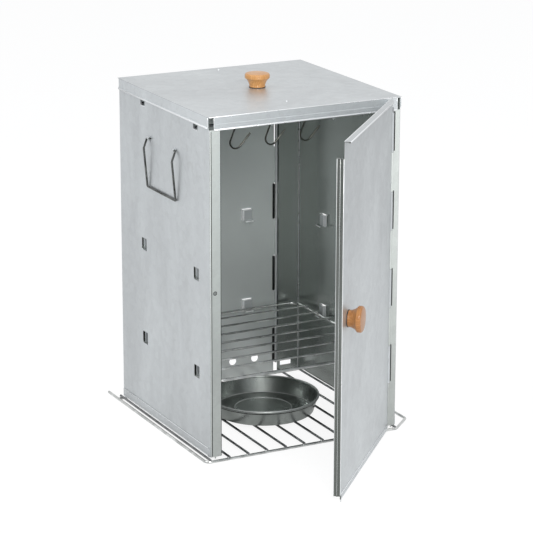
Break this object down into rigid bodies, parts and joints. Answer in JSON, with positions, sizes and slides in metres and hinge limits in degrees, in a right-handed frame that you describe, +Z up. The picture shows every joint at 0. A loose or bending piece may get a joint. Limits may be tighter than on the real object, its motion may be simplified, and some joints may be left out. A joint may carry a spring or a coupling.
{
  "type": "folding smoker",
  "caption": "Folding sheet-metal food smoker: square cabinet with hinged door, lift-off lid, hooks on a rod, wire shelf, chip pan and a wire rack under it.",
  "frame": {"origin": "on the ground under the middle of the cabinet's plan", "axes": "+X to the right seen from the front, +Y from the door to the back wall, +Z up; millimetres in the source, metres in the row"},
  "size_m": [0.3465, 0.5589, 0.5178],
  "materials": {
    "galvanised_sheet": "bright galvanised sheet with a faint spangle",
    "steel_rod": "drawn steel rod",
    "bright_wire": "bright plated wire",
    "varnished_wood": "varnished turned beech",
    "dark_washer": "thin dark washer",
    "dark_pan": "dark non-stick coating"
  },
  "bodies": {
    "base_rack": {"base_rack_frame": "bright_wire", "base_rack_bars": "bright_wire"},
    "cabinet": {"left_wall": "galvanised_sheet", "right_wall": "galvanised_sheet", "back_wall": "galvanised_sheet", "left_rear_hinge_rod": "steel_rod", "right_rear_hinge_rod": "steel_rod", "door_hinge_rod": "steel_rod"},
    "door": {"door_panel": "galvanised_sheet", "door_catch_stud": "steel_rod", "door_knob": "varnished_wood", "door_knob_washer": "dark_washer", "door_knob_screw": "steel_rod"},
    "lid": {"lid_panel": "galvanised_sheet", "lid_knob": "varnished_wood", "lid_knob_washer": "dark_washer", "lid_knob_screw": "steel_rod"},
    "left_handle": {"left_handle": "bright_wire"},
    "right_handle": {"right_handle": "bright_wire"},
    "front_rod": {"front_hanging_rod": "bright_wire"},
    "rear_rod": {"rear_hanging_rod": "bright_wire"},
    "hook_1": {"hook_1": "bright_wire"},
    "hook_2": {"hook_2": "bright_wire"},
    "hook_3": {"hook_3": "bright_wire"},
    "shelf": {"shelf_frame": "bright_wire", "shelf_bars": "bright_wire"},
    "chip_pan": {"chip_pan": "dark_pan"}
  },
  "joints": [
    {"name": "cabinet_lift", "type": "slide", "parent": "base_rack", "child": "cabinet", "axis": [0, 0, 1], "range_m": [0, 0.15]},
    {"name": "door_swing", "type": "hinge", "parent": "cabinet", "child": "door", "pos_m": [0.134, -0.155, 0.25], "axis": [0, 0, 1], "range_deg": [-47, 113]},
    {"name": "lid_lift", "type": "slide", "parent": "cabinet", "child": "lid", "axis": [0, 0, 1], "range_m": [0, 0.12]},
    {"name": "left_handle_swing", "type": "hinge", "parent": "cabinet", "child": "left_handle", "pos_m": [-0.1517, 0.0015, 0.42875], "axis": [0, 1, 0], "range_deg": [0, 125]},
    {"name": "right_handle_swing", "type": "hinge", "parent": "cabinet", "child": "right_handle", "pos_m": [0.1517, 0.0015, 0.42875], "axis": [0, -1, 0], "range_deg": [0, 125]},
    {"name": "front_rod_draw", "type": "slide", "parent": "cabinet", "child": "front_rod", "axis": [1, 0, 0], "range_m": [-0.0495, 0.1015]},
    {"name": "rear_rod_draw", "type": "slide", "parent": "cabinet", "child": "rear_rod", "axis": [1, 0, 0], "range_m": [0, 0.31]},
    {"name": "hook_1_swing", "type": "hinge", "parent": "front_rod", "child": "hook_1", "pos_m": [-0.0895, -0.1066, 0.47475], "axis": [1, 0, 0], "range_deg": [-45, 45]},
    {"name": "hook_2_swing", "type": "hinge", "parent": "front_rod", "child": "hook_2", "pos_m": [-0.0345, -0.1066, 0.47475], "axis": [1, 0, 0], "range_deg": [-45, 45]},
    {"name": "hook_3_swing", "type": "hinge", "parent": "front_rod", "child": "hook_3", "pos_m": [0.0205, -0.1066, 0.47475], "axis": [1, 0, 0], "range_deg": [-45, 45]},
    {"name": "shelf_lift", "type": "slide", "parent": "cabinet", "child": "shelf", "axis": [0, 0, 1], "range_m": [0, 0.13]},
    {"name": "chip_pan_lift", "type": "slide", "parent": "base_rack", "child": "chip_pan", "axis": [0, 0, 1], "range_m": [0, 0.07]}
  ]
}
